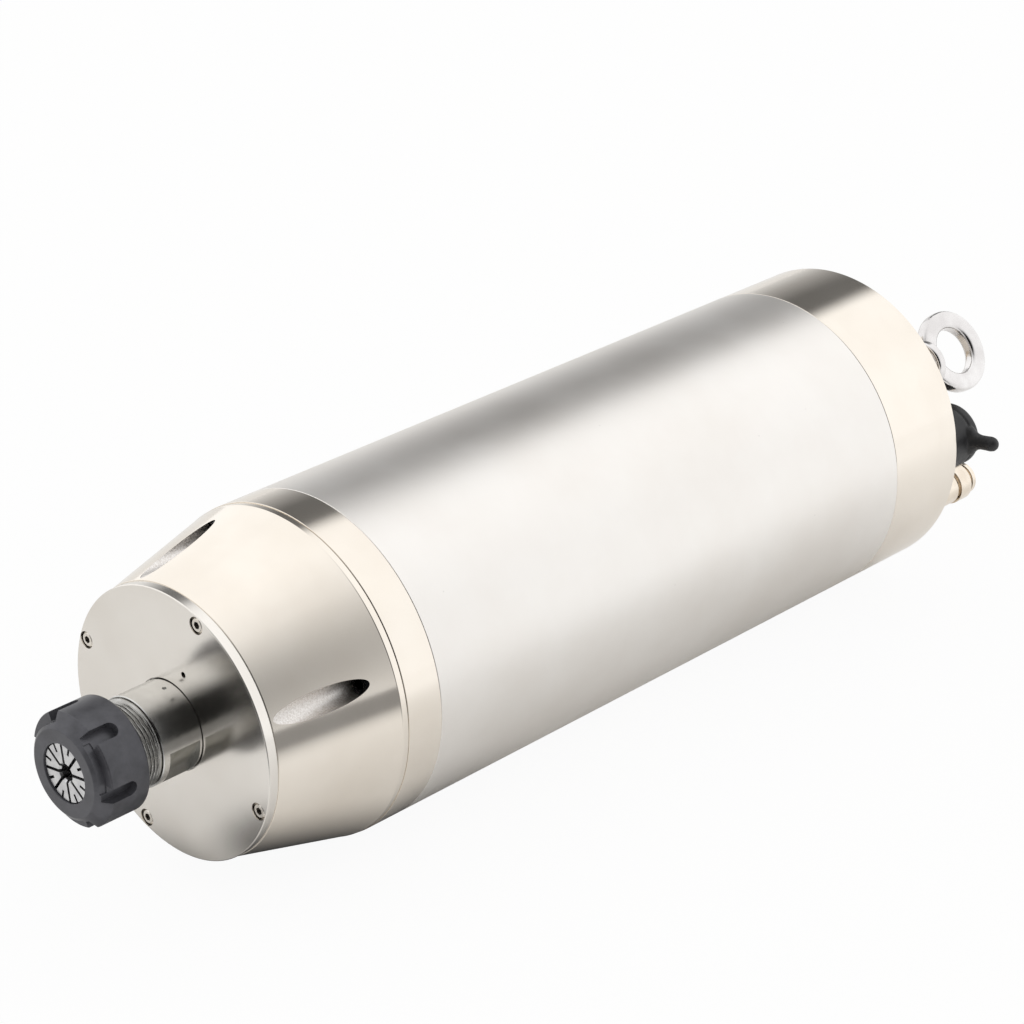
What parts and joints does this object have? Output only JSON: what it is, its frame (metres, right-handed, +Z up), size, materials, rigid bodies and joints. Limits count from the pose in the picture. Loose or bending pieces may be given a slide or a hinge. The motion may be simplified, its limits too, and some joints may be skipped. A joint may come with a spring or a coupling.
{
  "type": "motor spindle",
  "caption": "Water-cooled motor spindle: cylindrical steel housing with conical nose, tapered collet in a slotted clamping nut, lifting eye, capped power receptacle and water fittings.",
  "frame": {"origin": "on the spindle axis at mid-length of the housing tube", "axes": "+Y along the spindle axis from the tool end to the rear, +Z up, +X to the side that carries the power receptacle"},
  "size_m": [0.1351, 0.4488, 0.125],
  "materials": {
    "black_oxide": "black oxide, satin",
    "collet_steel": "hardened and ground",
    "ground_steel": "ground",
    "turned_steel": "face turned",
    "polished_steel": "polished stainless",
    "satin_steel": "brushed stainless, satin",
    "laminations": "stacked electrical sheet",
    "copper": "varnished copper wire",
    "rotor_alloy": "die cast",
    "alloy": "machined",
    "brass": "turned",
    "contact": "gold plated",
    "nickel": "nickel plated",
    "rubber": "moulded, matt",
    "lead_sleeve": "silicone sleeve",
    "cage_resin": "fabric reinforced resin",
    "insulator": "moulded",
    "ball_steel": "lapped"
  },
  "bodies": {
    "housing": {"cover_plate": "turned_steel", "plate_screws": "turned_steel", "nose_housing": "polished_steel", "nose_screws": "black_oxide", "front_ring": "polished_steel", "housing_tube": "satin_steel", "rear_cap": "polished_steel", "rear_cap_screws": "black_oxide", "water_jacket": "alloy", "water_pipes": "nickel", "o_rings": "rubber", "stator_core": "laminations", "stator_windings": "copper", "front_outer_races": "ground_steel", "front_outer_spacer": "ground_steel", "rear_bearing_housing": "alloy", "rear_outer_races": "ground_steel", "rear_outer_spacer": "ground_steel", "rear_bearing_cover": "alloy", "bearing_cover_screws": "black_oxide", "preload_ring": "ground_steel", "preload_springs": "ground_steel", "socket_shell": "nickel", "socket_insulator": "insulator", "socket_pins": "contact", "socket_screws": "ground_steel", "motor_leads": "lead_sleeve", "lifting_eye": "polished_steel", "water_fitting_a": "nickel", "water_fitting_b": "nickel"},
    "rotor": {"spindle_shaft": "ground_steel", "front_inner_races": "ground_steel", "front_inner_spacer": "ground_steel", "front_bearing_nut": "ground_steel", "rotor_core": "laminations", "rotor_cage": "rotor_alloy", "balance_rings": "brass", "rear_inner_races": "ground_steel", "rear_inner_spacer": "ground_steel", "rear_bearing_nut": "ground_steel"},
    "front_cage": {"front_balls": "ball_steel", "front_cages": "cage_resin"},
    "rear_cage": {"rear_balls": "ball_steel", "rear_cages": "cage_resin"},
    "collet": {"collet": "collet_steel"},
    "nut": {"clamping_nut": "black_oxide"},
    "dust_cap": {"dust_cap": "rubber"},
    "release_a": {"release_ring_a": "nickel"},
    "release_b": {"release_ring_b": "nickel"}
  },
  "joints": [
    {"name": "spindle_spin", "type": "hinge", "parent": "housing", "child": "rotor", "pos_m": [0, 0, 0], "axis": [0, 1, 0], "continuous": true},
    {"name": "front_cage_spin", "type": "hinge", "parent": "housing", "child": "front_cage", "pos_m": [0, 0, 0], "axis": [0, 1, 0], "continuous": true},
    {"name": "rear_cage_spin", "type": "hinge", "parent": "housing", "child": "rear_cage", "pos_m": [0, 0, 0], "axis": [0, 1, 0], "continuous": true},
    {"name": "collet_draw", "type": "slide", "parent": "rotor", "child": "collet", "axis": [0, -1, 0], "range_m": [0, 0.003]},
    {"name": "nut_turn", "type": "hinge", "parent": "collet", "child": "nut", "pos_m": [0, 0, 0], "axis": [0, -1, 0], "range_deg": [0, 721]},
    {"name": "dust_cap_pull", "type": "slide", "parent": "housing", "child": "dust_cap", "axis": [0, 1, 0], "range_m": [0, 0.018]},
    {"name": "release_a_press", "type": "slide", "parent": "housing", "child": "release_a", "axis": [0, -1, 0], "range_m": [0, 0.0014]},
    {"name": "release_b_press", "type": "slide", "parent": "housing", "child": "release_b", "axis": [0, -1, 0], "range_m": [0, 0.0014]}
  ],
  "couplings": [
    {"joint": "front_cage_spin", "follows": "spindle_spin", "ratio": 0.4223},
    {"joint": "rear_cage_spin", "follows": "spindle_spin", "ratio": 0.4141},
    {"joint": "nut_turn", "follows": "collet_draw", "rad_per_m": 4188.8}
  ]
}
